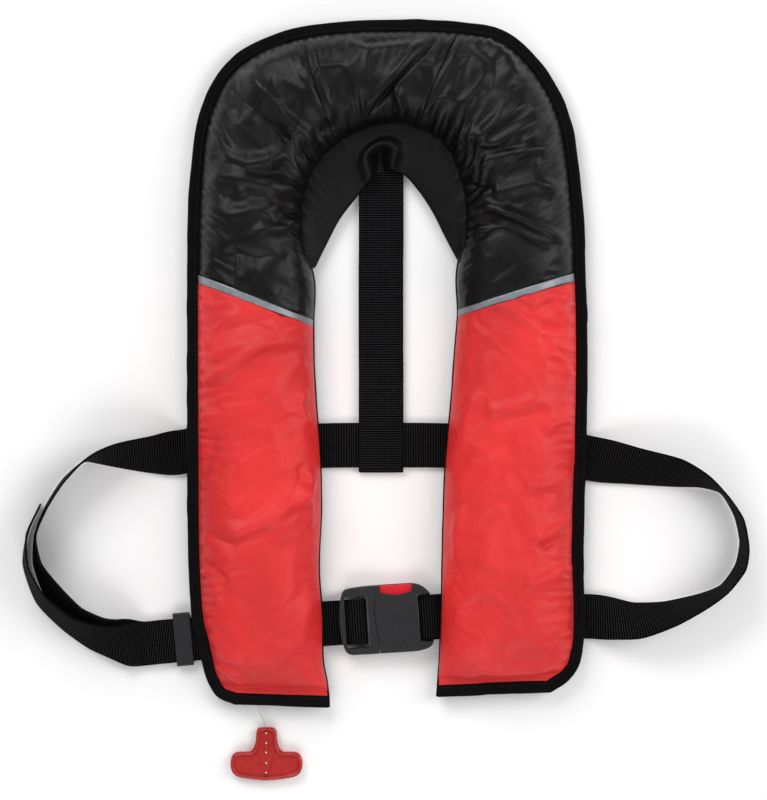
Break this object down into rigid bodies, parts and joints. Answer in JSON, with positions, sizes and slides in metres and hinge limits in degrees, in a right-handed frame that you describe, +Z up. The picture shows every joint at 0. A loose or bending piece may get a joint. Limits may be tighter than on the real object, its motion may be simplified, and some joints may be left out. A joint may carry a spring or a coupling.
{
  "type": "inflatable life jacket",
  "caption": "Automatic inflatable life jacket, packed: U-shaped cover over a folded bladder, belt harness with push-button buckle, gas inflator and pull handle.",
  "frame": {"origin": "on the floor under the middle of the jacket lying on its back, pull cord and handle left out", "axes": "+X across the chest toward the wearer's left side, +Y toward the neck, +Z up off the floor, out of the jacket's front"},
  "size_m": [0.6412, 0.6734, 0.0511],
  "materials": {
    "red_nylon": "coated nylon, slight sheen",
    "black_nylon": "coated nylon, sheen",
    "binding_tape": "matt woven tape",
    "hook_and_loop": "matt pile",
    "neoprene": "matt knitted neoprene",
    "reflective": "grey reflective tape",
    "webbing": "ribbed webbing",
    "buckle_plastic": "fine-grained",
    "button_plastic": "satin",
    "handle_plastic": "satin moulded",
    "cord": "braided cord",
    "bladder_fabric": "coated fabric",
    "inflator_plastic": "moulded",
    "lever_plastic": "moulded",
    "indicator_plastic": "moulded",
    "steel": "plated",
    "rubber": "matt",
    "bobbin": "pressed",
    "whistle_plastic": "moulded"
  },
  "bodies": {
    "jacket": {"front_cover_left": "red_nylon", "front_cover_right": "red_nylon", "back_cover": "black_nylon", "yoke_left": "black_nylon", "yoke_back": "black_nylon", "yoke_right": "black_nylon", "tunnel_upper_left": "black_nylon", "tunnel_lower_left": "black_nylon", "tunnel_upper_right": "black_nylon", "tunnel_lower_right": "black_nylon", "edge_binding": "binding_tape", "closure_hook_left": "hook_and_loop", "closure_loop_left": "hook_and_loop", "closure_hook_right": "hook_and_loop", "closure_loop_right": "hook_and_loop", "neck_collar": "neoprene", "neck_pad": "neoprene", "reflective_band_left": "reflective", "reflective_band_right": "reflective", "back_strap": "webbing", "waist_belt": "webbing", "belt_tail": "webbing", "buckle_body": "buckle_plastic", "whistle_lanyard": "cord", "bladder": "bladder_fabric", "inflator_body": "inflator_plastic", "status_indicator": "indicator_plastic", "lever_pivot": "steel", "inflator_nut": "steel", "button_spring": "steel", "piercing_spring": "steel", "inflator_manifold": "rubber", "inflator_gasket": "rubber", "oral_tube_base": "rubber", "oral_tube": "rubber", "oral_valve": "rubber", "water_bobbin": "bobbin", "whistle": "whistle_plastic"},
    "tongue": {"buckle_tongue": "buckle_plastic", "front_strap": "webbing"},
    "button": {"release_button": "button_plastic"},
    "keeper": {"tail_keeper": "buckle_plastic"},
    "handle": {"pull_handle": "handle_plastic", "pull_cord": "cord"},
    "lever": {"firing_lever": "lever_plastic"},
    "pin": {"piercing_pin": "steel"},
    "cylinder": {"gas_cylinder": "steel"},
    "sensor_cap": {"bobbin_cap": "inflator_plastic"},
    "mouth_cap": {"oral_cap": "lever_plastic"}
  },
  "joints": [
    {"name": "tongue_release", "type": "slide", "parent": "jacket", "child": "tongue", "axis": [-0.9981, -0.061, 0], "range_m": [0, 0.014]},
    {"name": "button_press", "type": "slide", "parent": "jacket", "child": "button", "axis": [0.061, -0.9981, 0], "range_m": [0, 0.004], "stiffness_N_per_m": 500, "deforming": ["button_spring"]},
    {"name": "keeper_slide", "type": "slide", "parent": "jacket", "child": "keeper", "axis": [-0.9959, -0.0905, 0], "range_m": [0, 0.015]},
    {"name": "handle_pull", "type": "slide", "parent": "jacket", "child": "handle", "axis": [0, -1, 0], "range_m": [0, 0.02]},
    {"name": "lever_turn", "type": "hinge", "parent": "jacket", "child": "lever", "pos_m": [-0.1225, -0.222, 0.0305], "axis": [0, 0, 1], "range_deg": [0, 62]},
    {"name": "pin_strike", "type": "slide", "parent": "jacket", "child": "pin", "axis": [0, 1, 0], "range_m": [0, 0.005], "deforming": ["piercing_spring"]},
    {"name": "cylinder_unscrew", "type": "hinge", "parent": "jacket", "child": "cylinder", "pos_m": [-0.11, -0.208, 0.0305], "axis": [0, 1, 0], "range_deg": [0, 720]},
    {"name": "sensor_cap_unscrew", "type": "hinge", "parent": "jacket", "child": "sensor_cap", "pos_m": [-0.11, -0.2445, 0.0305], "axis": [0, 1, 0], "range_deg": [0, 360]},
    {"name": "mouth_cap_pull", "type": "slide", "parent": "jacket", "child": "mouth_cap", "axis": [0, -1, 0], "range_m": [0, 0.012]}
  ],
  "couplings": [
    {"joint": "lever_turn", "follows": "handle_pull", "rad_per_m": 54},
    {"joint": "pin_strike", "follows": "handle_pull", "ratio": 0.25}
  ]
}
